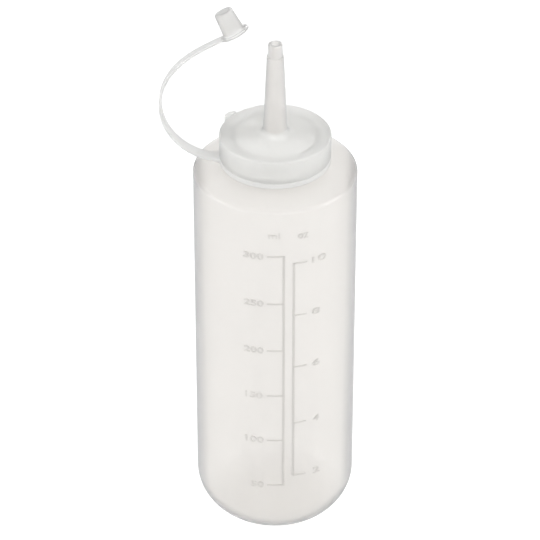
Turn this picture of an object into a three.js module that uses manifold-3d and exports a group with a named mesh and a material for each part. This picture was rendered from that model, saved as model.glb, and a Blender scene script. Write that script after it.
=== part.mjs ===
// Dispensing bottle: a blow-moulded squeeze bottle, a screw cap that carries a tapered nozzle, and a
// tether moulding whose ring sits on the foot of the cap and whose strap holds a tip cap.
// Millimetres, +Z up, origin at the centre of the base. The strap leaves the cap towards -X.
import * as THREE from "three";
import { mergeVertices } from "three/addons/utils/BufferGeometryUtils.js";
import Module from "manifold-3d";

const degrees = THREE.MathUtils.degToRad;

// Bottle
const bodyRadius = 29.0;
const bodyWall = 0.9;
const baseWall = 1.3;
const baseCornerRadius = 16.4;
const wallTop = 146.4; // the straight wall ends here and the shoulder's corner begins
const shoulderCornerRadius = 1.5;
const shoulderSlope = degrees(10);
const neckRootRadius = 1.0; // hollow fillet between shoulder and neck
const neckWall = 1.5;
const neckTop = 160.5;
const neckLipRadius = 0.4;

// Screw cap
const capRadius = 19.7;
const capTop = 162.0;
const capHeight = 10.8; // with the tether's ring, which closes the skirt's foot
const capTopWall = 1.2;
const capSkirtWall = 1.8; // where the thread's crests run; the neck's size follows from it
const capRimRadius = 0.8;
const threadHeight = 0.75; // what the neck's thread stands out
const threadClearance = 0.25;
const plugClearance = 0.2;
const plugWall = 1.0;
const plugDepth = 3.3;
const plugLeadIn = 0.5;
const lugBearing = degrees(144);
const lugWidth = 4.6;
const lugReach = 1.4; // what it stands out of the skirt
const lugHeight = 3.5;
const lugDrop = 0.3; // from the cap's top to the lug's
const lugCornerRadius = 0.7;

// Nozzle, in one piece with the cap
const nozzleFootRadius = 4.39; // where the taper meets the cap's top
const nozzleStepRadius = 2.96;
const nozzleTaperLength = 31.2;
const tipFootRadius = 2.84;
const tipEndRadius = 2.36;
const tipLength = 4.9;
const tipEdgeRadius = 0.3;
const nozzleWall = 0.9;
const orificeRadius = 1.25;
const flareRadius = 7.8;
const flareHeight = 2.4;
const boreFlare = 0.9;

// Tether: ring, strap and tip cap are one flexible moulding, and the strap bends at its links
const ringHeight = 2.1;
const ringWall = 1.0;
const ringEdge = 0.3;
const ringClearance = 0.25;
const beadHeight = 0.45; // the spigot's snap bead, and the ring's groove for it
const beadWidth = 1.1;
const strapLength = 68.2; // from the ring to the tip cap's flange
const strapWidth = 4.0;
const strapThickness = 0.9;
const strapEdgeRadius = 0.25;
const strapRootRise = 1.0; // the strap's middle above the foot of the cap
const rootBend = degrees(36); // the strap bends up at its root, and
const rootBendPower = 7.5; // a higher power bends it nearer the root
const strapSweep = degrees(116); // then arches over to the tip cap
const strapTwist = degrees(-11.5); // roll about its own length, reached at the flange
const strapTwistStartShare = 0.4;
const rootStubLength = 4.0;
const rootFlareLength = 2.6;
const rootFlareWidth = 0.8; // added on each side at the ring
const rootFlareThickness = 0.45;
const rootEmbed = 0.4;
const tipStubLength = 3.0;
const linkCount = 9;
const linkGap = 0.3;

// Tip cap
const flangeRadius = 5.3;
const flangeThickness = 0.95;
const flangeEdgeRadius = 0.35;
const cupHeight = 10.0; // from the flange's face to the closed end
const cupFootRadius = 3.85;
const cupEndRadius = 3.3;
const cupCornerRadius = 0.8;
const cupRootRadius = 0.5;
const cupBoreDepth = 8.8;
const cupMouthRadius = 3.45;
const cupBoreEndRadius = 2.75;
const cupLeadIn = 0.25;

// Facets
const bodyFacets = 56;
const tipFacets = 28;
const quarterSteps = 6;
const filletSteps = 3;
const courseSteps = 340;
const linkSteps = 3;
const mergeShare = 0.001; // of a link gap: points nearer than this are one

// Derived sizes
const skirtBoreRadius = capRadius - capSkirtWall;
const neckRadius = skirtBoreRadius - threadClearance - threadHeight;
const neckBoreRadius = neckRadius - neckWall;
const capFoot = capTop - capHeight;
const capCeiling = capTop - capTopWall;
const ringTop = capFoot + ringHeight;
const ringBoreRadius = capRadius - ringWall;
const spigotRadius = ringBoreRadius - ringClearance;
const nozzleStep = capTop + nozzleTaperLength;
const nozzleEnd = nozzleStep + tipLength;
const nozzleTaper = (nozzleFootRadius - nozzleStepRadius) / nozzleTaperLength;
const linkPitch = (strapLength - rootStubLength - tipStubLength) / linkCount;
const mergeDistance = linkGap * mergeShare;

const wasm = await Module();
wasm.setup();

function point(radius, height) {
  return new THREE.Vector2(radius, height);
}

// An arc of the profile, from one angle to the other, both in degrees.
function arc(centreRadius, centreHeight, radius, from, to, steps = filletSteps) {
  const points = [];
  for (let i = 0; i <= steps; i += 1) {
    const angle = degrees(from + ((to - from) * i) / steps);
    points.push(point(centreRadius + radius * Math.cos(angle), centreHeight + radius * Math.sin(angle)));
  }
  return points;
}

function turned(profile, facets) {
  return new THREE.LatheGeometry(profile, facets).rotateX(Math.PI / 2);
}

function solid(geometry) {
  const bare = geometry.clone();
  bare.deleteAttribute("normal");
  bare.deleteAttribute("uv");
  const merged = mergeVertices(bare, mergeDistance);
  return new wasm.Manifold(
    new wasm.Mesh({
      numProp: 3,
      vertProperties: merged.attributes.position.array,
      triVerts: new Uint32Array(merged.index.array),
    }),
  );
}

function geometryOf(manifold) {
  const mesh = manifold.getMesh();
  const geometry = new THREE.BufferGeometry();
  geometry.setAttribute("position", new THREE.BufferAttribute(mesh.vertProperties, mesh.numProp));
  geometry.setIndex(new THREE.BufferAttribute(mesh.triVerts, 1));
  geometry.computeVertexNormals();
  return geometry;
}

function joined(...geometries) {
  return geometryOf(geometries.map(solid).reduce((whole, piece) => whole.add(piece)));
}

function mesh(name, geometry, color, roughness) {
  const made = new THREE.Mesh(
    geometry,
    new THREE.MeshStandardMaterial({ color, roughness, metalness: 0 }),
  );
  made.name = name;
  return made;
}

// The bottle's wall follows one outline at two offsets: the outer face, and the inner one a wall in.
function bottleGeometry() {
  const corner = bodyRadius - shoulderCornerRadius;
  const slopeEnd = 90 - THREE.MathUtils.radToDeg(shoulderSlope);
  const outerCorner = arc(corner, wallTop, shoulderCornerRadius, 0, slopeEnd);
  const innerCorner = arc(corner, wallTop, shoulderCornerRadius - bodyWall, slopeEnd, 0);
  const rootCentreRadius = neckRadius + neckRootRadius;
  const slopeStart = outerCorner[outerCorner.length - 1];
  const rootCentreHeight =
    slopeStart.y +
    (slopeStart.x - rootCentreRadius) * Math.tan(shoulderSlope) +
    neckRootRadius / Math.cos(shoulderSlope);
  const innerSlopeStart = innerCorner[0];
  const boreFoot = innerSlopeStart.y + (innerSlopeStart.x - neckBoreRadius) * Math.tan(shoulderSlope);
  const baseCentre = bodyRadius - baseCornerRadius;
  const innerCornerRadius = baseCornerRadius - baseWall;
  const innerBaseCentre = bodyRadius - bodyWall - innerCornerRadius;
  return turned(
    [
      point(0, 0),
      ...arc(baseCentre, baseCornerRadius, baseCornerRadius, -90, 0, quarterSteps + filletSteps),
      ...outerCorner,
      ...arc(rootCentreRadius, rootCentreHeight, neckRootRadius, 180 + slopeEnd, 180),
      ...arc(neckRadius - neckLipRadius, neckTop - neckLipRadius, neckLipRadius, 0, 90),
      ...arc(neckBoreRadius + neckLipRadius, neckTop - neckLipRadius, neckLipRadius, 90, 180),
      point(neckBoreRadius, boreFoot),
      ...innerCorner,
      ...arc(innerBaseCentre, baseCornerRadius, innerCornerRadius, 0, -90, quarterSteps + filletSteps),
      point(0, baseWall),
    ],
    bodyFacets,
  );
}

function nozzleRadius(height) {
  return nozzleFootRadius - nozzleTaper * (height - capTop);
}

// The nozzle's foot sweeps out into the cap's top in one hollow curve.
function flarePoints() {
  const top = capTop + flareHeight;
  const curve = new THREE.QuadraticBezierCurve(
    point(nozzleRadius(top), top),
    point(nozzleRadius(capTop), capTop),
    point(flareRadius, capTop),
  );
  return curve.getPoints(quarterSteps);
}

// A bead or its groove: a low ridge with sloping flanks on a wall of the given radius.
function beadPoints(radius, height, width) {
  const middle = capFoot + ringHeight / 2;
  const flat = width / 2 - height;
  return [
    point(radius, middle + width / 2),
    point(radius + height, middle + Math.max(flat, 0)),
    point(radius + height, middle - Math.max(flat, 0)),
    point(radius, middle - width / 2),
  ].filter((at, i, all) => i === 0 || at.distanceTo(all[i - 1]) > mergeDistance);
}

// One closed outline: down the outside of nozzle, cap and skirt, and up the inside again.
function screwCapGeometry() {
  const plugRadius = neckBoreRadius - plugClearance;
  const plugFoot = capCeiling - plugDepth;
  const boreTop = nozzleStep - nozzleWall;
  const profile = [
    ...arc(tipEndRadius - tipEdgeRadius, nozzleEnd - tipEdgeRadius, tipEdgeRadius, 90, 0),
    point(tipFootRadius, nozzleStep),
    point(nozzleStepRadius, nozzleStep),
    ...flarePoints(),
    ...arc(capRadius - capRimRadius, capTop - capRimRadius, capRimRadius, 90, 0),
    point(capRadius, ringTop + ringClearance),
    point(spigotRadius, ringTop + ringClearance),
    ...beadPoints(spigotRadius, beadHeight, beadWidth),
    point(spigotRadius, capFoot),
    point(skirtBoreRadius, capFoot),
    point(skirtBoreRadius, capCeiling),
    point(plugRadius, capCeiling),
    point(plugRadius, plugFoot + plugLeadIn),
    point(plugRadius - plugLeadIn, plugFoot),
    point(plugRadius - plugWall, plugFoot),
    point(plugRadius - plugWall, capCeiling),
    point(nozzleRadius(capCeiling) - nozzleWall + boreFlare, capCeiling),
    point(nozzleRadius(capTop) - nozzleWall, capCeiling + boreFlare),
    point(nozzleRadius(boreTop) - nozzleWall, boreTop),
    point(orificeRadius, boreTop + nozzleWall),
    point(orificeRadius, nozzleEnd),
  ];
  profile.push(profile[0]);
  return turned(profile.reverse(), bodyFacets);
}

// A small lug on the skirt, rounded at its outer corners.
function lugGeometry() {
  const half = lugWidth / 2;
  const outer = capRadius + lugReach;
  const outline = new THREE.Shape();
  outline.moveTo(capRadius - lugReach, -half);
  outline.lineTo(outer - lugCornerRadius, -half);
  outline.quadraticCurveTo(outer, -half, outer, lugCornerRadius - half);
  outline.lineTo(outer, half - lugCornerRadius);
  outline.quadraticCurveTo(outer, half, outer - lugCornerRadius, half);
  outline.lineTo(capRadius - lugReach, half);
  outline.closePath();
  const lug = new THREE.ExtrudeGeometry(outline, {
    depth: lugHeight,
    bevelEnabled: false,
    curveSegments: filletSteps,
  });
  return lug.rotateZ(lugBearing).translate(0, 0, capTop - lugDrop - lugHeight);
}

function ringGeometry() {
  const outer = capRadius;
  const profile = [
    point(outer, capFoot + ringEdge),
    point(outer, ringTop),
    point(ringBoreRadius, ringTop),
    ...beadPoints(ringBoreRadius, beadHeight, beadWidth),
    point(ringBoreRadius, capFoot),
    point(outer - ringEdge, capFoot),
  ];
  profile.push(profile[0]);
  return turned(profile, bodyFacets);
}

function strapHeading(share) {
  const bend = rootBend * (1 - Math.pow(1 - share, rootBendPower));
  const sweep = (strapSweep * (1 - Math.cos(Math.PI * share))) / 2;
  return Math.PI - bend - sweep;
}

// The strap's middle line, added up from its heading in small steps along its length.
const strapCourse = [new THREE.Vector3(-capRadius, 0, capFoot + strapRootRise)];
for (let i = 0; i < courseSteps; i += 1) {
  const heading = strapHeading((i + 0.5) / courseSteps);
  const step = new THREE.Vector3(Math.cos(heading), 0, Math.sin(heading));
  strapCourse.push(strapCourse[i].clone().addScaledVector(step, strapLength / courseSteps));
}

// Position and axes of the strap at a distance from the ring: along, across and out of its face.
function strapFrame(distance) {
  const share = THREE.MathUtils.clamp(distance / strapLength, 0, 1);
  const heading = strapHeading(share);
  const roll = strapTwist * THREE.MathUtils.smoothstep(share, strapTwistStartShare, 1);
  const along = new THREE.Vector3(Math.cos(heading), 0, Math.sin(heading));
  const face = new THREE.Vector3(-Math.sin(heading), 0, Math.cos(heading)).applyAxisAngle(along, roll);
  const across = new THREE.Vector3().crossVectors(face, along);
  const at = share * courseSteps;
  const before = Math.min(Math.floor(at), courseSteps - 1);
  const place = strapCourse[before].clone().lerp(strapCourse[before + 1], at - before);
  place.addScaledVector(along, distance - share * strapLength);
  return { place, along, across, face };
}

// The strap's section: a flat bar with small chamfered edges, widened by the flare.
function strapSection(frame, flare) {
  const halfWidth = strapWidth / 2 + rootFlareWidth * flare;
  const halfThickness = strapThickness / 2 + rootFlareThickness * flare;
  const corners = [
    [halfWidth, halfThickness - strapEdgeRadius],
    [halfWidth - strapEdgeRadius, halfThickness],
    [strapEdgeRadius - halfWidth, halfThickness],
    [-halfWidth, halfThickness - strapEdgeRadius],
    [-halfWidth, strapEdgeRadius - halfThickness],
    [strapEdgeRadius - halfWidth, -halfThickness],
    [halfWidth - strapEdgeRadius, -halfThickness],
    [halfWidth, strapEdgeRadius - halfThickness],
  ];
  return corners.map(([wide, high]) =>
    frame.place.clone().addScaledVector(frame.across, wide).addScaledVector(frame.face, high),
  );
}

// A stretch of the strap as one closed loft between two distances from the ring.
function strapStretch(from, to, steps, flareAt = () => 0) {
  const sections = [];
  for (let i = 0; i <= steps; i += 1) {
    const distance = from + ((to - from) * i) / steps;
    sections.push(strapSection(strapFrame(distance), flareAt(distance)));
  }
  const sides = sections[0].length;
  const index = [];
  for (let i = 0; i < steps; i += 1) {
    for (let k = 0; k < sides; k += 1) {
      const a = i * sides + k;
      const b = i * sides + ((k + 1) % sides);
      index.push(a, b, a + sides, b, b + sides, a + sides);
    }
  }
  const last = steps * sides;
  for (let k = 1; k < sides - 1; k += 1) {
    index.push(0, k + 1, k);
    index.push(last, last + k, last + k + 1);
  }
  const geometry = new THREE.BufferGeometry().setFromPoints(sections.flat());
  geometry.setIndex(index);
  geometry.computeVertexNormals();
  return geometry;
}

// The strap thickens where it grows out of the ring.
function rootFlare(distance) {
  return Math.pow(THREE.MathUtils.clamp(1 - distance / rootFlareLength, 0, 1), 2);
}

function tetherRingGeometry() {
  const stub = strapStretch(-rootEmbed, rootStubLength - linkGap / 2, quarterSteps, rootFlare);
  return joined(ringGeometry(), stub);
}

function strapLinkGeometry(number) {
  const from = rootStubLength + number * linkPitch + linkGap / 2;
  return strapStretch(from, from + linkPitch - linkGap, linkSteps);
}

// The tip cap in its own frame: flange on the ground, closed end up.
function cupGeometry() {
  const outer = [
    point(cupMouthRadius + cupLeadIn, 0),
    ...arc(flangeRadius - flangeEdgeRadius, flangeEdgeRadius, flangeEdgeRadius, -90, 0),
    ...arc(flangeRadius - flangeEdgeRadius, flangeThickness - flangeEdgeRadius, flangeEdgeRadius, 0, 90),
    ...arc(cupFootRadius + cupRootRadius, flangeThickness + cupRootRadius, cupRootRadius, 270, 180),
    ...arc(cupEndRadius - cupCornerRadius, cupHeight - cupCornerRadius, cupCornerRadius, 0, 90),
    point(0, cupHeight),
  ];
  const bore = [
    point(0, cupBoreDepth),
    point(cupBoreEndRadius, cupBoreDepth),
    point(cupMouthRadius, cupLeadIn),
    point(cupMouthRadius + cupLeadIn, 0),
  ];
  return turned([...bore, ...outer.slice(1)], tipFacets);
}

// The flange carries on from the strap's end, edge to edge and in the strap's own plane.
function tipCapGeometry() {
  const end = strapFrame(strapLength);
  const centre = end.place.clone().addScaledVector(end.along, flangeRadius);
  centre.addScaledVector(end.face, -flangeThickness / 2);
  const placed = new THREE.Matrix4().makeBasis(end.along, end.across, end.face);
  placed.setPosition(centre);
  const stubEnd = strapLength + flangeRadius - cupFootRadius;
  const stub = strapStretch(strapLength - tipStubLength + linkGap / 2, stubEnd, filletSteps);
  return joined(cupGeometry().applyMatrix4(placed), stub);
}

const bottle = new THREE.Group();
bottle.add(mesh("bottle_body", bottleGeometry(), 0xebebe8, 0.45));
bottle.add(mesh("screw_cap", joined(screwCapGeometry(), lugGeometry()), 0xe4e4e2, 0.4));
bottle.add(mesh("tether_ring", tetherRingGeometry(), 0xe8e8e5, 0.4));
for (let number = 0; number < linkCount; number += 1) {
  const name = "strap_link_" + String(number + 1).padStart(2, "0");
  bottle.add(mesh(name, strapLinkGeometry(number), 0xe6e6e3, 0.4));
}
bottle.add(mesh("tip_cap", tipCapGeometry(), 0xe6e2e1, 0.4));

export default bottle;
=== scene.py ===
# Dressed model of a frosted dispensing bottle: squeeze bottle, screw cap with nozzle, and a tip cap
# on a strap. The pieces' sizes are in millimetres and degrees, and the studio's in metres.
import math

import bpy
from mathutils import Matrix, Vector


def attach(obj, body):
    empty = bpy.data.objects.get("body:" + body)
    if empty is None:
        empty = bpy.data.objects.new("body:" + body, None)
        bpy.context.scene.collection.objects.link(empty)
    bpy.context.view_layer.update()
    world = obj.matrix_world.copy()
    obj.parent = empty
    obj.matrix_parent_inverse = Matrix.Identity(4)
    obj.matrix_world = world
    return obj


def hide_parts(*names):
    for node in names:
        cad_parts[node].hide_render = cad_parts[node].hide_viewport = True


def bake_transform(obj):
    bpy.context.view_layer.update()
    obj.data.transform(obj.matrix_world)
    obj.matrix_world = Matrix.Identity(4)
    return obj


mm = 0.001
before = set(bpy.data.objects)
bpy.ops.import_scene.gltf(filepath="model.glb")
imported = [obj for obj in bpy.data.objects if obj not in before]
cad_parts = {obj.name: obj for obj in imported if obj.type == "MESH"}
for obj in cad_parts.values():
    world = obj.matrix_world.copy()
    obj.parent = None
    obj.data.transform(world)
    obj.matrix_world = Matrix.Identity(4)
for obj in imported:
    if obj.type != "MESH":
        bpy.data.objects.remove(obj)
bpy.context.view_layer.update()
print("frame loaded", len(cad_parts), "nodes")


# Camera first: a long lens looking down on the bottle from the front.
cameraSetup = {
    "place": (-1.84 * mm, -917.66 * mm, 739.76 * mm),
    "tilt": 55.271,
    "lens": 206.5585,
    "sensor": 36,
    "clip": (0.05, 20),
}


def makeCamera():
    bpy.ops.object.camera_add(location=cameraSetup["place"])
    camera = bpy.context.active_object
    camera.name = "camera"
    camera.rotation_euler = (math.radians(cameraSetup["tilt"]), 0, 0)
    camera.data.lens = cameraSetup["lens"]
    camera.data.sensor_width = cameraSetup["sensor"]
    camera.data.clip_start, camera.data.clip_end = cameraSetup["clip"]
    camera.data.dof.use_dof = False
    bpy.context.scene.camera = camera


# Modelling helpers. Corners closer than these gaps become one, and edges that turn by more
# degrees than the crease stay sharp.
mergeGap = {"profile": 1e-7, "turned": 3e-6, "text": 1e-4}
levelGap = 1e-6
shellCrease = 32
barCrease = 40


def deselectAll():
    if bpy.context.mode != "OBJECT":
        bpy.ops.object.mode_set(mode="OBJECT")
    bpy.ops.object.select_all(action="DESELECT")


def pick(*pieces):
    deselectAll()
    for piece in pieces:
        piece.select_set(True)
    bpy.context.view_layer.objects.active = pieces[0]


def editMode(kind="VERT"):
    bpy.ops.object.mode_set(mode="EDIT")
    bpy.ops.mesh.select_mode(type=kind)
    bpy.ops.mesh.select_all(action="SELECT")


def pickEdges(piece, wanted):
    # selects the edges whose two ends pass the test, and goes into edit mode
    editMode("EDGE")
    bpy.ops.mesh.select_all(action="DESELECT")
    bpy.ops.object.mode_set(mode="OBJECT")
    for edge in piece.data.edges:
        first, second = [piece.data.vertices[v].co for v in edge.vertices]
        edge.select = wanted(first, second)
    bpy.ops.object.mode_set(mode="EDIT")


def applyPlace(piece):
    pick(piece)
    bpy.ops.object.transform_apply(location=True, rotation=True, scale=True)


def applyModifiers(piece):
    pick(piece)
    for modifier in list(piece.modifiers):
        bpy.ops.object.modifier_apply(modifier=modifier.name)


def tidyNormals(piece, angle=shellCrease):
    pick(piece)
    editMode()
    bpy.ops.mesh.normals_make_consistent(inside=False)
    bpy.ops.object.mode_set(mode="OBJECT")
    bpy.ops.object.shade_smooth_by_angle(angle=math.radians(angle))


def arcPoints(centre, radius, start, end, steps=8):
    turns = [math.radians(start + (end - start) * i / steps) for i in range(steps + 1)]
    return [(centre[0] + radius * math.cos(a), centre[1] + radius * math.sin(a)) for a in turns]


def drawProfile(name, profile):
    # a plane shrunk to one vertex, pulled along the profile in the XZ plane, in millimetres
    deselectAll()
    bpy.ops.mesh.primitive_plane_add(size=mm, location=(0, 0, 0))
    piece = bpy.context.active_object
    piece.name = name
    editMode()
    bpy.ops.mesh.merge(type="CENTER")
    bpy.ops.transform.translate(value=(profile[0][0] * mm, 0, profile[0][1] * mm))
    for before, after in zip(profile, profile[1:]):
        step = ((after[0] - before[0]) * mm, 0, (after[1] - before[1]) * mm)
        bpy.ops.mesh.extrude_vertices_move(TRANSFORM_OT_translate={"value": step})
    bpy.ops.mesh.select_all(action="SELECT")
    bpy.ops.mesh.remove_doubles(threshold=mergeGap["profile"])
    return piece


def turnProfile(name, profile, steps):
    piece = drawProfile(name, profile)
    bpy.ops.mesh.select_all(action="SELECT")
    bpy.ops.mesh.spin(steps=steps, angle=2 * math.pi, center=(0, 0, 0), axis=(0, 0, 1))
    bpy.ops.mesh.select_all(action="SELECT")
    bpy.ops.mesh.remove_doubles(threshold=mergeGap["turned"])
    tidyNormals(piece)
    return piece


def unite(piece, *others):
    for other in others:
        pick(piece)
        join = piece.modifiers.new("join", "BOOLEAN")
        join.operation = "UNION"
        join.solver = "EXACT"
        join.object = other
        bpy.ops.object.modifier_apply(modifier=join.name)
        bpy.data.objects.remove(other)


# Shader helpers: Wire wraps a socket, so that maths on it can be written as an expression.
class Wire:
    def __init__(self, graph, out):
        self.graph = graph
        self.out = out

    def maths(self, operation, first, second):
        return self.graph.node("ShaderNodeMath", {"operation": operation}, {0: first, 1: second})

    def __add__(self, other):
        return self.maths("ADD", self, other)

    def __radd__(self, other):
        return self.maths("ADD", other, self)

    def __sub__(self, other):
        return self.maths("SUBTRACT", self, other)

    def __rsub__(self, other):
        return self.maths("SUBTRACT", other, self)

    def __mul__(self, other):
        return self.maths("MULTIPLY", self, other)

    def __rmul__(self, other):
        return self.maths("MULTIPLY", other, self)

    def __pow__(self, other):
        return self.maths("POWER", self, other)


class Graph:
    def __init__(self, tree):
        self.tree = tree
        self.tree.nodes.clear()

    def node(self, kind, settings=None, values=None, take=0):
        # take is the number of the output that is handed back
        made = self.tree.nodes.new(kind)
        for name, value in (settings or {}).items():
            setattr(made, name, value)
        for name, value in (values or {}).items():
            if isinstance(value, Wire):
                self.tree.links.new(value.out, made.inputs[name])
            else:
                made.inputs[name].default_value = value
        return Wire(self, made.outputs[take]) if len(made.outputs) else made


def rgb(red, green, blue):
    # screen values from 0 to 255 as a linear colour
    def linear(value):
        share = value / 255
        return share / 12.92 if share <= 0.04045 else ((share + 0.055) / 1.055) ** 2.4

    return (linear(red), linear(green), linear(blue), 1)


plasticIor = 1.5
bumpDepth = 0.2
noiseDetail = {"cloudScale": 3.0, "grainScale": 2.0, "flowScale": 1.0}


def softPlastic(name, look):
    # frosted polyethylene: a clear part that blurs what lies behind it, mixed with an evenly milky
    # part, and a darker grey part, painted shade, that takes over towards the outline where the
    # surface turns away from the camera
    material = bpy.data.materials.new(name)
    material.use_nodes = True
    graph = Graph(material.node_tree)
    place = graph.node("ShaderNodeTexCoord", take=3)
    cloud, grain, flow = [
        graph.node(
            "ShaderNodeTexNoise", values={"Vector": place, "Scale": look[kind], "Detail": detail}
        )
        for kind, detail in noiseDetail.items()
    ]
    facing = graph.node("ShaderNodeLayerWeight", values={"Blend": 0.5}, take=1)
    turned = graph.node(
        "ShaderNodeMapRange",
        values={"Value": facing, "From Min": look["edgeShadeStart"], "From Max": 1.0},
    )
    milkiness = look["density"] * (1 + look["uneven"] * (cloud - 0.5))
    height = look["flowShare"] * flow + look["grainShare"] * grain
    bump = graph.node(
        "ShaderNodeBump",
        values={"Strength": look["bump"], "Distance": bumpDepth * mm, "Height": height},
    )
    tint = graph.node(
        "ShaderNodeMix",
        {"data_type": "RGBA"},
        {"Factor": cloud, "A": rgb(*look["colour"]), "B": rgb(*look["colourThick"])},
        take=2,
    )
    roughness = look["roughness"] + look["roughnessSpread"] * (grain - 0.5)
    milk = graph.node(
        "ShaderNodeBsdfPrincipled",
        values={
            "Base Color": tint,
            "Roughness": roughness,
            "IOR": plasticIor,
            "Specular IOR Level": look["shine"],
            "Normal": bump,
        },
    )
    # painted shade: a flat darker grey surface that the outline is faded into
    edge = graph.node(
        "ShaderNodeBsdfPrincipled",
        values={"Base Color": rgb(*look["edgeShadeColour"]), "Roughness": roughness, "Normal": bump},
    )
    haze = graph.node(
        "ShaderNodeBsdfPrincipled",
        values={
            "Base Color": rgb(*look["clear"]),
            "Roughness": look["blur"],
            "IOR": look["bend"],
            "Transmission Weight": 1.0,
            "Coat Weight": look["gloss"],
            "Coat Roughness": look["glossBlur"],
            "Normal": bump,
        },
    )
    wall = graph.node("ShaderNodeMixShader", values={0: milkiness, 1: haze, 2: milk})
    # how much of the painted edge shade shows, growing towards the outline
    edgeShadeShare = turned ** look["edgeShadePower"]
    mixed = graph.node("ShaderNodeMixShader", values={0: edgeShadeShare, 1: wall, 2: edge})
    graph.node("ShaderNodeOutputMaterial", values={"Surface": mixed})
    return material


def finishPiece(piece, body, material, slotName, *nodes):
    piece.data.materials.clear()
    piece.data.materials.append(material)
    if body:
        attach(piece, body)
    if nodes:
        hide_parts(*nodes)
    print("made", piece.name, len(piece.data.polygons), "faces")


makeCamera()

# Bottle: blow-moulded, with an even frost and slow waves in its wall
bottle = {
    "radius": 29.0,
    "wall": 0.9,
    "baseWall": 1.3,
    "baseCorner": 16.4,
    "wallTop": 146.4,
    "shoulderCorner": 1.5,
    "slope": 10.0,
    "neckRoot": 1.0,
    "neckRadius": 16.9,
    "neckBore": 15.4,
    "neckTop": 160.5,
    "neckLip": 0.4,
    "turnSteps": 176,
}
bottleLook = {
    "colour": (212, 209, 207),
    "colourThick": (207, 204, 202),
    "clear": (253, 252, 250),
    "blur": 0.55,
    "bend": 1.06,
    "gloss": 0.9,
    "glossBlur": 0.22,
    "density": 0.17,
    # darker grey of the painted shade along the outline
    "edgeShadeColour": (152, 153, 156),
    "edgeShadeStart": 0.58,
    "edgeShadePower": 1.2,
    "uneven": 0.25,
    "cloudScale": 18.0,
    "grainScale": 900.0,
    "flowScale": 40.0,
    "flowShare": 0.6,
    "grainShare": 0.12,
    "bump": 0.35,
    "roughness": 0.3,
    "roughnessSpread": 0.1,
    "shine": 0.5,
}


def bottleProfile():
    b = bottle
    corner = b["radius"] - b["shoulderCorner"]
    rise = math.tan(math.radians(b["slope"]))
    slopeEnd = 90 - b["slope"]
    outerCorner = arcPoints((corner, b["wallTop"]), b["shoulderCorner"], 0, slopeEnd, 10)
    innerCorner = arcPoints((corner, b["wallTop"]), b["shoulderCorner"] - b["wall"], slopeEnd, 0, 8)
    rootCentre = b["neckRadius"] + b["neckRoot"]
    rootHeight = outerCorner[-1][1] + (outerCorner[-1][0] - rootCentre) * rise
    rootHeight += b["neckRoot"] / math.cos(math.radians(b["slope"]))
    boreFoot = innerCorner[0][1] + (innerCorner[0][0] - b["neckBore"]) * rise
    innerBase = b["baseCorner"] - b["baseWall"]
    innerCentre = b["radius"] - b["wall"] - innerBase
    lip = b["neckLip"]
    return [
        (0, 0),
        *arcPoints((b["radius"] - b["baseCorner"], b["baseCorner"]), b["baseCorner"], -90, 0, 28),
        *outerCorner,
        *arcPoints((rootCentre, rootHeight), b["neckRoot"], 180 + slopeEnd, 180, 8),
        *arcPoints((b["neckRadius"] - lip, b["neckTop"] - lip), lip, 0, 90, 6),
        *arcPoints((b["neckBore"] + lip, b["neckTop"] - lip), lip, 90, 180, 6),
        (b["neckBore"], boreFoot),
        *innerCorner,
        *arcPoints((innerCentre, b["baseCorner"]), innerBase, 0, -90, 28),
        (0, b["baseWall"]),
    ]


bottlePlastic = softPlastic("frostedBottlePlastic", bottleLook)
shell = turnProfile("bottle_shell", bottleProfile(), bottle["turnSteps"])
finishPiece(shell, "bottle", bottlePlastic, "bottle_plastic", "bottle_body")

# Threads: a ridge drawn once and run up its helix, fading out at both ends
thread = {
    "pitch": 4.23,
    "rootHalf": 0.8,
    "crestHalf": 0.35,
    "fadeTurns": 0.12,
    "endShare": 0.05,
    "stepsPerTurn": 72,
}
neckRidge = {"root": 16.8, "crest": 17.65, "start": 153.0, "turns": 1.5, "bearing": 30}
capRidge = {"root": 17.95, "crest": 17.15, "start": 153.0, "turns": 1.45, "bearing": 200}


def threadRidge(name, sizes):
    root = sizes["root"]
    crest = sizes["crest"]
    turns = sizes["turns"]
    ridge = [
        (root, -thread["rootHalf"]),
        (crest, -thread["crestHalf"]),
        (crest, thread["crestHalf"]),
        (root, thread["rootHalf"]),
    ]
    piece = drawProfile(name, ridge + ridge[:1])
    bpy.ops.object.mode_set(mode="OBJECT")
    steps = round(thread["stepsPerTurn"] * turns)
    helix = piece.modifiers.new("helix", "SCREW")
    helix.axis = "Z"
    helix.angle = 2 * math.pi * turns
    helix.screw_offset = thread["pitch"] * turns * mm
    helix.steps = steps
    helix.render_steps = steps
    applyModifiers(piece)
    corners = len(ridge)
    for vertex in piece.data.vertices:
        along = (vertex.index // corners) / steps * turns
        share = min(1, min(along, turns - along) / thread["fadeTurns"])
        share = thread["endShare"] + (1 - thread["endShare"]) * share
        radius = math.hypot(vertex.co.x, vertex.co.y)
        wanted = root * mm + (radius - root * mm) * share
        vertex.co.x *= wanted / radius
        vertex.co.y *= wanted / radius
    piece.rotation_euler.z = math.radians(sizes["bearing"])
    piece.location.z = sizes["start"] * mm
    applyPlace(piece)
    editMode()
    bpy.ops.mesh.fill_holes(sides=0)
    tidyNormals(piece)
    return piece


neckThread = threadRidge("neck_thread", neckRidge)
finishPiece(neckThread, "bottle", bottlePlastic, "bottle_plastic")

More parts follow.
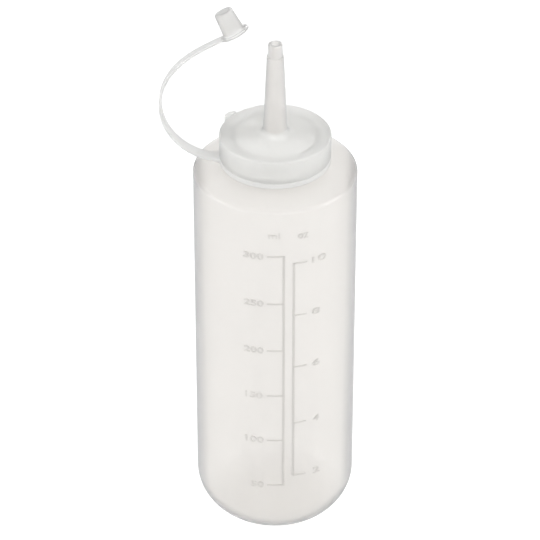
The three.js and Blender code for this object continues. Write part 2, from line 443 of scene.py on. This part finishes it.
# Scale: lines, ticks and numbers stand out of the wall; each is drawn flat and wrapped round it.
# Ends across are bearings in degrees from the front, and heights are in millimetres.
scale = {
    "proud": 0.14,
    "sunk": 0.12,
    "lineWidth": 0.9,
    "tickWidth": 0.55,
    "numberHeight": 2.6,
    "bevel": 0.16,
    "cuts": 8,
    "cutFromLength": 2,
    "letterDepth": 0.1,
    "letterWeight": 0.015,
    "letterCurve": 6,
    "mlLine": (5.9, 27.4, 129.4),
    "ozLine": (13.0, 31.8, 126.1),
    "mlTicks": (-5.75, 5.9, (129.1, 109.0, 88.6, 68.5, 48.4, 27.7)),
    "ozTicks": (13.0, 22.6, (125.9, 103.6, 81.0, 55.9, 31.8)),
    "mlNumbers": (
        ("300", -22.5, -8.2, 129.1),
        ("250", -22.5, -8.2, 109.0),
        ("200", -22.5, -8.2, 88.6),
        ("150", -21.8, -9.0, 68.5),
        ("100", -21.8, -8.2, 48.4),
        ("50", -17.7, -8.2, 27.7),
    ),
    "ozNumbers": (
        ("10", 26.2, 37.9, 125.9),
        ("8", 26.6, 33.2, 103.6),
        ("6", 27.0, 33.7, 81.0),
        ("4", 28.2, 33.4, 55.9),
        ("2", 28.6, 34.2, 31.8),
    ),
    "words": (("ml", -5.0, 3.2, 136.8, 139.3), ("oz", 15.7, 23.4, 136.0, 138.2)),
}


def arcLength(angle):
    return math.radians(angle) * bottle["radius"]


def flatBar(left, right, bottom, top):
    deselectAll()
    bpy.ops.mesh.primitive_cube_add(size=1, location=((left + right) / 2, 0, (bottom + top) / 2))
    bar = bpy.context.active_object
    bar.scale = (right - left, 1, top - bottom)
    applyPlace(bar)
    pickEdges(bar, lambda first, second: first.y < 0 and second.y < 0)
    bpy.ops.mesh.bevel(offset=scale["bevel"], segments=2, affect="EDGES")
    if right - left > scale["cutFromLength"]:
        for i in range(1, scale["cuts"]):
            bpy.ops.mesh.select_all(action="SELECT")
            place = (left + (right - left) * i / scale["cuts"], 0, 0)
            bpy.ops.mesh.bisect(plane_co=place, plane_no=(1, 0, 0))
    bpy.ops.object.mode_set(mode="OBJECT")
    return bar


def flatText(text, left, right, bottom, top):
    deselectAll()
    bpy.ops.object.text_add(location=(0, 0, 0))
    letters = bpy.context.active_object
    letters.data.body = text
    letters.data.size = 1
    letters.data.extrude = scale["letterDepth"]
    letters.data.resolution_u = scale["letterCurve"]
    letters.data.offset = scale["letterWeight"]
    bpy.ops.object.convert(target="MESH")
    letters = bpy.context.active_object
    points = [v.co.copy() for v in letters.data.vertices]
    low = [min(p[i] for p in points) for i in range(3)]
    high = [max(p[i] for p in points) for i in range(3)]
    for vertex in letters.data.vertices:
        share = [(vertex.co[i] - low[i]) / (high[i] - low[i]) for i in range(3)]
        across = left + (right - left) * share[0]
        vertex.co = (across, 0.5 - share[2], bottom + (top - bottom) * share[1])
    editMode()
    bpy.ops.mesh.remove_doubles(threshold=mergeGap["text"])
    bpy.ops.object.mode_set(mode="OBJECT")
    return letters


def wrapOnWall(piece):
    # x becomes the way round the wall, and y from -0.5 to 0.5 runs from proud to sunk
    for vertex in piece.data.vertices:
        depth = scale["proud"] - (vertex.co.y + 0.5) * (scale["proud"] + scale["sunk"])
        radius = (bottle["radius"] + depth) * mm
        angle = vertex.co.x / bottle["radius"]
        vertex.co = (radius * math.sin(angle), -radius * math.cos(angle), vertex.co.z * mm)


def scaleMarks():
    s = scale
    marks = []
    half = s["lineWidth"] / 2
    for angle, bottom, top in (s["mlLine"], s["ozLine"]):
        middle = arcLength(angle)
        marks.append(flatBar(middle - half, middle + half, bottom, top))
    half = s["tickWidth"] / 2
    for start, end, heights in (s["mlTicks"], s["ozTicks"]):
        ends = (arcLength(start), arcLength(end))
        marks += [flatBar(*ends, height - half, height + half) for height in heights]
    half = s["numberHeight"] / 2
    for text, start, end, height in s["mlNumbers"] + s["ozNumbers"]:
        ends = (arcLength(start), arcLength(end))
        marks.append(flatText(text, *ends, height - half, height + half))
    for text, start, end, bottom, top in s["words"]:
        marks.append(flatText(text, arcLength(start), arcLength(end), bottom, top))
    for mark in marks:
        wrapOnWall(mark)
    pick(*marks)
    bpy.ops.object.join()
    joined = bpy.context.active_object
    joined.name = "scale_marks"
    tidyNormals(joined, barCrease)
    return joined


# raised marks: milkier than the wall, and darker grey in colour, a painted shade where the raised
# marks look darker
marksLook = dict(
    bottleLook, density=0.3, colour=(202, 201, 199), colourThick=(199, 198, 196)
)
marksPlastic = softPlastic("raisedScalePlastic", marksLook)
finishPiece(scaleMarks(), "bottle", marksPlastic, "bottle_plastic")

# Screw cap with its nozzle, one moulding, closed at the foot by the tether's ring
cap = {
    "radius": 19.7,
    "top": 162.0,
    "foot": 151.2,
    "topWall": 1.2,
    "skirtWall": 1.8,
    "rim": 0.8,
    "spigot": 18.45,
    "spigotTop": 153.36,
    "plugRadius": 15.2,
    "plugWall": 1.0,
    "plugDepth": 3.3,
    "plugLead": 0.5,
    "bead": 0.45,
    "beadWidth": 1.1,
    "beadTop": 153.3,
    "skirtEdge": 0.12,
    "innerEdge": 0.3,
    "turnSteps": 176,
}
nozzle = {
    "foot": 4.39,
    "step": 2.96,
    "stepHeight": 193.2,
    "tipFoot": 2.62,
    "tipEnd": 2.44,
    "end": 198.1,
    "edge": 0.2,
    "stepEdge": 0.1,
    "stepGap": 0.02,
    "wall": 0.9,
    "orifice": 1.25,
    "orificeEdge": 0.12,
    "flareRadius": 7.8,
    "flareHeight": 2.4,
    "boreFlare": 0.9,
}
capLook = {
    "colour": (253, 253, 251),
    "colourThick": (251, 251, 249),
    "clear": (255, 255, 254),
    "blur": 0.55,
    "bend": 1.2,
    "gloss": 0.45,
    "glossBlur": 0.22,
    "density": 0.5,
    # darker grey of the painted shade along the outline
    "edgeShadeColour": (196, 197, 196),
    "edgeShadeStart": 0.52,
    "edgeShadePower": 1.3,
    "uneven": 0.15,
    "cloudScale": 60.0,
    "grainScale": 1400.0,
    "flowScale": 90.0,
    "flowShare": 0.6,
    "grainShare": 0.05,
    "bump": 0.2,
    "roughness": 0.34,
    "roughnessSpread": 0.08,
    "shine": 0.45,
}
nozzleLook = dict(
    capLook,
    density=0.42,
    blur=0.45,
    colour=(248, 245, 242),
    colourThick=(246, 243, 240),
    # darker grey of the painted shade along the outline
    edgeShadeColour=(206, 207, 207),
    edgeShadeStart=0.22,
    edgeShadePower=1.1,
)
lugLook = dict(
    capLook,
    density=0.85,
    colour=(246, 246, 244),
    colourThick=(243, 243, 241),
    # grey of the painted shade along the outline
    edgeShadeColour=(222, 222, 221),
)


def nozzleRadius(height):
    run = nozzle["stepHeight"] - cap["top"]
    return nozzle["foot"] - (nozzle["foot"] - nozzle["step"]) * (height - cap["top"]) / run


def flarePoints(steps=14):
    # the soft foot of the nozzle, a curve that leaves the cone and the cap's top without an edge
    top = cap["top"] + nozzle["flareHeight"]
    foot = (nozzle["foot"], cap["top"])
    ends = ((nozzleRadius(top), top), foot, (nozzle["flareRadius"], cap["top"]))
    made = []
    for i in range(steps + 1):
        t = i / steps
        weights = ((1 - t) ** 2, 2 * t * (1 - t), t * t)
        made.append(tuple(sum(w * end[k] for w, end in zip(weights, ends)) for k in (0, 1)))
    return made


def beadPoints(radius):
    # the snap bead between skirt and ring, from its top to its foot
    middle = (cap["foot"] + cap["beadTop"]) / 2
    half = cap["beadWidth"] / 2
    flat = half - cap["bead"]
    out = radius + cap["bead"]
    steps = ((radius, half), (out, flat), (out, -flat), (radius, -half))
    return [(across, middle + up) for across, up in steps]


def capProfile():
    c = cap
    n = nozzle
    ceiling = c["top"] - c["topWall"]
    bore = c["radius"] - c["skirtWall"]
    plugFoot = ceiling - c["plugDepth"]
    plug = c["plugRadius"]
    boreTop = n["stepHeight"] - n["wall"]
    lip = n["orificeEdge"]
    step = n["stepEdge"]
    edge = c["skirtEdge"]
    inner = c["innerEdge"]
    return [
        *arcPoints((n["orifice"] + lip, n["end"] - lip), lip, 180, 90, 3),
        *arcPoints((n["tipEnd"] - n["edge"], n["end"] - n["edge"]), n["edge"], 90, 0, 6),
        (n["tipFoot"], n["stepHeight"] + n["stepGap"]),
        *arcPoints((n["step"] - step, n["stepHeight"] - step), step, 90, 0, 4),
        *flarePoints(),
        *arcPoints((c["radius"] - c["rim"], c["top"] - c["rim"]), c["rim"], 90, 0, 10),
        *arcPoints((c["radius"] - edge, c["spigotTop"] + edge), edge, 0, -90, 3),
        (c["spigot"], c["spigotTop"]),
        *beadPoints(c["spigot"]),
        (c["spigot"], c["foot"]),
        (bore, c["foot"]),
        *arcPoints((bore - inner, ceiling - inner), inner, 0, 90, 3),
        *arcPoints((plug + inner, ceiling - inner), inner, 90, 180, 3),
        (plug, plugFoot + c["plugLead"]),
        (plug - c["plugLead"], plugFoot),
        (plug - c["plugWall"], plugFoot),
        (plug - c["plugWall"], ceiling),
        (nozzleRadius(ceiling) - n["wall"] + n["boreFlare"], ceiling),
        (nozzleRadius(c["top"]) - n["wall"], ceiling + n["boreFlare"]),
        (nozzleRadius(boreTop) - n["wall"], boreTop),
        (n["orifice"], boreTop + n["wall"]),
        (n["orifice"], n["end"] - lip),
    ]


lug = {
    "bearing": 140.5,
    "width": 3.4,
    "reach": 2.3,
    "sunk": 1.2,
    "height": 3.5,
    "drop": 0.3,
    "edge": 0.35,
    "ribRadius": 0.8,
    "ribRise": 0.35,
    "ribPlace": (20.1, -1.5),
    "ribEdge": 0.2,
    "ribSides": 32,
    "skin": 0.02,
}


def capLug():
    deselectAll()
    depth = lug["reach"] + lug["sunk"]
    middle = cap["radius"] + (lug["reach"] - lug["sunk"]) / 2
    height = cap["top"] - lug["drop"] - lug["height"] / 2
    bpy.ops.mesh.primitive_cube_add(size=1, location=(middle * mm, 0, height * mm))
    block = bpy.context.active_object
    block.scale = (depth * mm, lug["width"] * mm, lug["height"] * mm)
    applyPlace(block)
    editMode("EDGE")
    bpy.ops.mesh.bevel(offset=lug["edge"] * mm, segments=4, affect="EDGES")
    bpy.ops.object.mode_set(mode="OBJECT")
    across, along = lug["ribPlace"]
    bpy.ops.mesh.primitive_cylinder_add(
        vertices=lug["ribSides"],
        radius=lug["ribRadius"] * mm,
        depth=(lug["height"] + lug["ribRise"]) * mm,
        location=(across * mm, along * mm, (height + lug["ribRise"] / 2) * mm),
    )
    rib = bpy.context.active_object
    pickEdges(rib, lambda first, second: abs(first.z - second.z) < levelGap)
    bpy.ops.mesh.bevel(offset=lug["ribEdge"] * mm, segments=2, affect="EDGES")
    bpy.ops.object.mode_set(mode="OBJECT")
    unite(block, rib)
    block.rotation_euler.z = math.radians(lug["bearing"])
    applyPlace(block)
    return block


capPlastic = softPlastic("capPlastic", capLook)
profile = capProfile()
capShell = turnProfile("cap_shell", profile + profile[:1], cap["turnSteps"])
unite(capShell, capLug())
tidyNormals(capShell)
finishPiece(capShell, "screw_cap", capPlastic, "cap_plastic", "screw_cap")
capShell.data.materials.append(softPlastic("nozzlePlastic", nozzleLook))
capShell.data.materials.append(softPlastic("lugPlastic", lugLook))
for face in capShell.data.polygons:
    # the thin nozzle is clearer than the cap, and the solid lug milkier
    if face.center.z > (cap["top"] + nozzle["flareHeight"]) * mm:
        face.material_index = 1
    elif math.hypot(face.center.x, face.center.y) > (cap["radius"] + lug["skin"]) * mm:
        face.material_index = 2
capThread = threadRidge("cap_thread", capRidge)
finishPiece(capThread, "screw_cap", capPlastic, "cap_plastic")

# Tether: ring, strap and tip cap
tether = {
    "ringTop": 153.3,
    "ringWall": 1.0,
    "ringEdge": 0.3,
    "ringLip": 0.15,
    "strapLength": 68.2,
    "strapWidth": 5.2,
    "strapThickness": 0.9,
    "edge": 0.35,
    "rootRise": 1.0,
    "rootBend": 36.0,
    "rootBendPower": 7.5,
    "sweep": 116.0,
    "twist": -11.5,
    "twistStart": 0.4,
    "rootStub": 4.0,
    "tipStub": 3.0,
    "rootSunk": 0.6,
    "tipSunk": 0.7,
    "flareLength": 2.6,
    "flareWidth": 0.8,
    "flareThickness": 0.45,
    "links": 9,
    "bendReach": 2.9,
    "stepsPerPiece": 18,
}
tetherLook = {
    "colour": (255, 255, 254),
    "colourThick": (253, 253, 252),
    "clear": (255, 255, 254),
    "blur": 0.55,
    "bend": 1.2,
    "gloss": 0.9,
    "glossBlur": 0.22,
    "density": 0.62,
    # grey of the painted shade along the outline
    "edgeShadeColour": (206, 206, 205),
    "edgeShadeStart": 0.42,
    "edgeShadePower": 1.6,
    "uneven": 0.12,
    "cloudScale": 70.0,
    "grainScale": 1400.0,
    "flowScale": 110.0,
    "flowShare": 0.6,
    "grainShare": 0.05,
    "bump": 0.2,
    "roughness": 0.33,
    "roughnessSpread": 0.08,
    "shine": 0.45,
}
ringLook = dict(
    tetherLook,
    density=0.6,
    colourThick=(254, 254, 253),
    # grey of the painted shade along the outline
    edgeShadeColour=(230, 230, 229),
    edgeShadeStart=0.65,
)
tipLook = dict(
    tetherLook,
    density=0.3,
    colour=(220, 219, 217),
    colourThick=(216, 215, 213),
    # darker grey of the painted shade along the outline
    edgeShadeColour=(196, 196, 196),
    edgeShadeStart=0.35,
    edgeShadePower=1.2,
    gloss=0.15,
    glossBlur=0.4,
)


def ringProfile():
    outer = cap["radius"]
    inner = outer - tether["ringWall"]
    lip = tether["ringLip"]
    return [
        (outer, cap["foot"] + tether["ringEdge"]),
        *arcPoints((outer - lip, tether["ringTop"] - lip), lip, 0, 90, 3),
        (inner, tether["ringTop"]),
        *beadPoints(inner),
        (inner, cap["foot"]),
        (outer - tether["ringEdge"], cap["foot"]),
    ]


def strapHeading(share):
    bend = math.radians(tether["rootBend"]) * (1 - (1 - share) ** tether["rootBendPower"])
    sweep = math.radians(tether["sweep"]) * (1 - math.cos(math.pi * share)) / 2
    return math.pi - bend - sweep


def strapCourse(steps=340):
    # middle line of the strap, added up from its heading in small steps
    points = [Vector((-cap["radius"], 0, cap["foot"] + tether["rootRise"]))]
    for i in range(steps):
        heading = strapHeading((i + 0.5) / steps)
        along = Vector((math.cos(heading), 0, math.sin(heading)))
        points.append(points[-1] + along * tether["strapLength"] / steps)
    return points


course = strapCourse()


def strapFrame(distance):
    # place, and directions along, across and out of the strap's face, at a distance from the ring
    steps = len(course) - 1
    share = min(max(distance / tether["strapLength"], 0), 1)
    heading = strapHeading(share)
    ease = min(max((share - tether["twistStart"]) / (1 - tether["twistStart"]), 0), 1)
    roll = math.radians(tether["twist"]) * ease * ease * (3 - 2 * ease)
    along = Vector((math.cos(heading), 0, math.sin(heading)))
    face = Matrix.Rotation(roll, 3, along) @ Vector((-math.sin(heading), 0, math.cos(heading)))
    across = face.cross(along)
    before = min(int(share * steps), steps - 1)
    place = course[before].lerp(course[before + 1], share * steps - before)
    place = place + along * (distance - share * tether["strapLength"])
    return place, along, across, face


def strapStretch(name, start, end):
    # a rounded bar drawn straight along x, then laid along the strap's course
    deselectAll()
    onEnd = (0, math.radians(90), 0)
    bpy.ops.mesh.primitive_plane_add(size=1, location=(start, 0, 0), rotation=onEnd)
    piece = bpy.context.active_object
    piece.name = name
    piece.scale = (tether["strapThickness"], tether["strapWidth"], 1)
    applyPlace(piece)
    editMode()
    bpy.ops.mesh.bevel(offset=tether["edge"], segments=4, affect="VERTICES")
    bpy.ops.mesh.select_all(action="SELECT")
    step = (end - start) / tether["stepsPerPiece"]
    for _ in range(tether["stepsPerPiece"]):
        bpy.ops.mesh.extrude_region_move(TRANSFORM_OT_translate={"value": (step, 0, 0)})
    bpy.ops.object.mode_set(mode="OBJECT")
    for vertex in piece.data.vertices:
        distance, wide, high = vertex.co
        flare = min(max(1 - distance / tether["flareLength"], 0), 1) ** 2
        wide *= 1 + flare * tether["flareWidth"] / (tether["strapWidth"] / 2)
        high *= 1 + flare * tether["flareThickness"] / (tether["strapThickness"] / 2)
        place, along, across, face = strapFrame(distance)
        vertex.co = (place + across * wide + face * high) * mm
    tidyNormals(piece, barCrease)
    return piece


def makeStrap(material):
    # one piece over each hinge, from the middle of a link to the middle of the next
    links = tether["links"]
    bodies = ["tether_ring", *["strap_link_%02d" % k for k in range(1, links + 1)], "tip_cap"]
    pitch = (tether["strapLength"] - tether["rootStub"] - tether["tipStub"]) / links
    for k in range(links + 1):
        hinge = tether["rootStub"] + pitch * k
        start = hinge - pitch / 2 if k else -tether["rootSunk"]
        end = hinge + pitch / 2 if k < links else tether["strapLength"] + tether["tipSunk"]
        piece = strapStretch("strap_%02d" % (k + 1), start, end)
        nodes = bodies[k + 1 : k + 2] if k < links else []
        finishPiece(piece, None, material, "tether_plastic", *nodes)
        low = strapFrame(hinge - tether["bendReach"])[0] * mm
        high = strapFrame(hinge + tether["bendReach"])[0] * mm
        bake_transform(piece)


tipCap = {
    "flangeRadius": 5.3,
    "flangeThickness": 0.95,
    "flangeEdge": 0.35,
    "height": 9.4,
    "footRadius": 3.85,
    "endRadius": 3.3,
    "corner": 0.8,
    "root": 0.5,
    "boreDepth": 8.6,
    "mouthRadius": 3.45,
    "boreEndRadius": 2.75,
    "boreEdge": 0.3,
    "lead": 0.25,
    "turnSteps": 96,
}


def tipCapProfile():
    t = tipCap
    edge = t["flangeEdge"]
    rim = t["flangeRadius"] - edge
    inner = t["boreEdge"]
    corner = t["corner"]
    rootCentre = (t["footRadius"] + t["root"], t["flangeThickness"] + t["root"])
    return [
        (0, t["boreDepth"]),
        *arcPoints((t["boreEndRadius"] - inner, t["boreDepth"] - inner), inner, 90, 0, 4),
        (t["mouthRadius"], t["lead"]),
        (t["mouthRadius"] + t["lead"], 0),
        *arcPoints((rim, edge), edge, -90, 0, 6),
        *arcPoints((rim, t["flangeThickness"] - edge), edge, 0, 90, 6),
        *arcPoints(rootCentre, t["root"], 270, 180, 6),
        *arcPoints((t["endRadius"] - corner, t["height"] - corner), corner, 0, 90, 8),
        (0, t["height"]),
    ]


def makeTipCap():
    piece = turnProfile("tip_cap_shell", tipCapProfile(), tipCap["turnSteps"])
    place, along, across, face = strapFrame(tether["strapLength"])
    centre = place + along * tipCap["flangeRadius"] - face * tipCap["flangeThickness"] / 2
    turn = Matrix((along, across, face)).transposed().to_4x4()
    piece.matrix_world = Matrix.Translation(centre * mm) @ turn
    applyPlace(piece)
    return piece


tetherPlastic = softPlastic("strapPlastic", tetherLook)
ringPlastic = softPlastic("ringPlastic", ringLook)
tipPlastic = softPlastic("tipCapPlastic", tipLook)
outline = ringProfile()
ring = turnProfile("ring_band", outline + outline[:1], cap["turnSteps"])
finishPiece(ring, "tether_ring", ringPlastic, "tether_plastic", "tether_ring")
makeStrap(tetherPlastic)
finishPiece(makeTipCap(), "tip_cap", tipPlastic, "tether_plastic", "tip_cap")


# Studio: white floor and surroundings and three soft lamps, each with its place, width and power
# and whether it also shows as a glint in the gloss
studio = {
    "floorSize": 6.0,
    "floorDrop": 0.0002,
    "floorShade": 0.6,
    "floorGlow": 0.63,
    "world": 0.66,
    "aimHeight": 0.1,
    "bounces": 32,
    "lamps": (
        ("left", (-1.6, -0.1, 0.85), 0.5, 7.5, True),
        ("right", (1.6, -0.1, 0.85), 0.7, 6.5, True),
        ("front", (0.3, -1.45, 0.75), 0.8, 6.8, False),
    ),
}


def viewedShare(graph):
    # 1 for what the camera sees directly, in a reflection or through the plastic, and 0 for the
    # light that falls on the object
    rays = graph.node("ShaderNodeLightPath").out.node.outputs
    kinds = ("Is Camera Ray", "Is Glossy Ray", "Is Transmission Ray")
    seen, mirrored, through = [Wire(graph, rays[kind]) for kind in kinds]
    clamped = {"operation": "ADD", "use_clamp": True}
    return graph.node("ShaderNodeMath", clamped, {0: seen + mirrored, 1: through})


def makeFloor():
    deselectAll()
    low = (0, 0, -studio["floorDrop"])
    bpy.ops.mesh.primitive_plane_add(size=studio["floorSize"], location=low)
    floor = bpy.context.active_object
    floor.name = "floor"
    material = bpy.data.materials.new("paleFloor")
    material.use_nodes = True
    graph = Graph(material.node_tree)
    shade = studio["floorShade"]
    glowing = viewedShare(graph) * studio["floorGlow"]
    diffuse = graph.node("ShaderNodeBsdfDiffuse", values={"Color": (shade, shade, shade, 1)})
    glow = graph.node("ShaderNodeEmission", values={"Color": (1, 1, 1, 1), "Strength": glowing})
    both = graph.node("ShaderNodeAddShader", values={0: diffuse, 1: glow})
    graph.node("ShaderNodeOutputMaterial", values={"Surface": both})
    floor.data.materials.append(material)


def makeWorld():
    world = bpy.data.worlds.new("whiteStudio")
    bpy.context.scene.world = world
    world.use_nodes = True
    graph = Graph(world.node_tree)
    strength = studio["world"] + (1 - studio["world"]) * viewedShare(graph)
    white = {"Color": (1, 1, 1, 1), "Strength": strength}
    background = graph.node("ShaderNodeBackground", values=white)
    graph.node("ShaderNodeOutputWorld", values={"Surface": background})


def makeLamps():
    aim = Vector((0, 0, studio["aimHeight"]))
    for name, place, size, power, glint in studio["lamps"]:
        deselectAll()
        bpy.ops.object.light_add(type="AREA", location=place)
        lamp = bpy.context.active_object
        lamp.name = name + "_lamp"
        lamp.data.shape = "DISK"
        lamp.data.size = size
        lamp.data.energy = power
        lamp.visible_glossy = glint
        lamp.rotation_euler = (aim - Vector(place)).to_track_quat("-Z", "Y").to_euler()


makeFloor()
makeWorld()
makeLamps()
print("studio ready")

# Plain colours, and enough bounces for light to get through all the walls
scene = bpy.context.scene
scene.view_settings.view_transform = "Standard"
scene.cycles.max_bounces = studio["bounces"]
scene.cycles.transmission_bounces = studio["bounces"]
